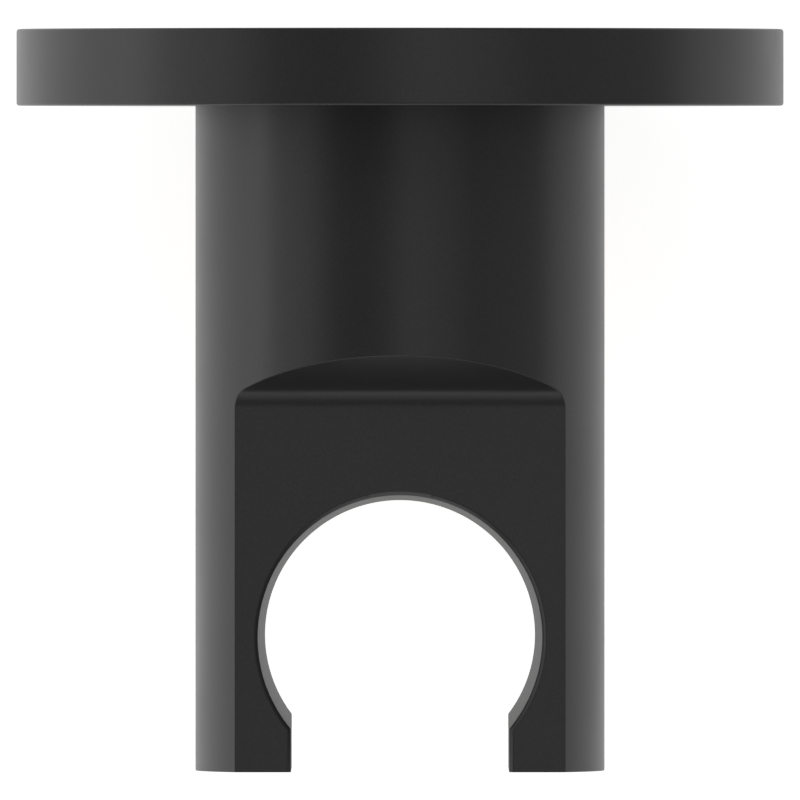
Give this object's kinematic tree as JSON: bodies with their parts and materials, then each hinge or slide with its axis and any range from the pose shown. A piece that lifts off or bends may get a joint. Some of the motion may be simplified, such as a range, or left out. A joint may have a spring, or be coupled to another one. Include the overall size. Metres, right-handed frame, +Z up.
{
  "type": "shower wall outlet with handset holder",
  "caption": "Round wall flange on a round bar cut to a flat with a tapered, front-slotted seat for a hand shower, and a threaded hose outlet with non-return valve below.",
  "frame": {"origin": "centre of the supply thread's mouth, on the wall plane", "axes": "+Y into the wall along the bar's axis, -Y out into the room, +Z up, hose outlet along -Z"},
  "size_m": [0.06, 0.058, 0.06],
  "materials": {
    "black_coat": "satin black coating",
    "brass": "turned, bare",
    "seal_rubber": "smooth moulded",
    "gasket_rubber": "fine closed-cell sheet",
    "stainless": "drawn and turned",
    "valve_plastic": "moulded natural acetal",
    "poppet_plastic": "moulded blue acetal"
  },
  "bodies": {
    "holder": {"holder_body": "black_coat", "wall_adapter": "brass", "adapter_o_ring_front": "seal_rubber", "adapter_o_ring_rear": "seal_rubber", "grub_screw": "stainless", "outlet_nipple": "brass", "nipple_o_ring": "seal_rubber", "valve_cage": "valve_plastic", "valve_cage_o_ring": "seal_rubber", "valve_spring": "stainless", "valve_guide": "valve_plastic"},
    "flange": {"wall_flange": "black_coat", "flange_gasket": "gasket_rubber", "flange_o_ring": "seal_rubber"},
    "poppet": {"valve_poppet": "poppet_plastic", "poppet_seal": "seal_rubber"}
  },
  "joints": [
    {"name": "flange_slide", "type": "slide", "parent": "holder", "child": "flange", "axis": [0, -1, 0], "range_m": [0, 0.0045]},
    {"name": "poppet_lift", "type": "slide", "parent": "holder", "child": "poppet", "axis": [0, 0, -1], "range_m": [0, 0.003], "stiffness_N_per_m": 130, "springref_m": -0.003, "deforming": ["valve_spring"]}
  ]
}
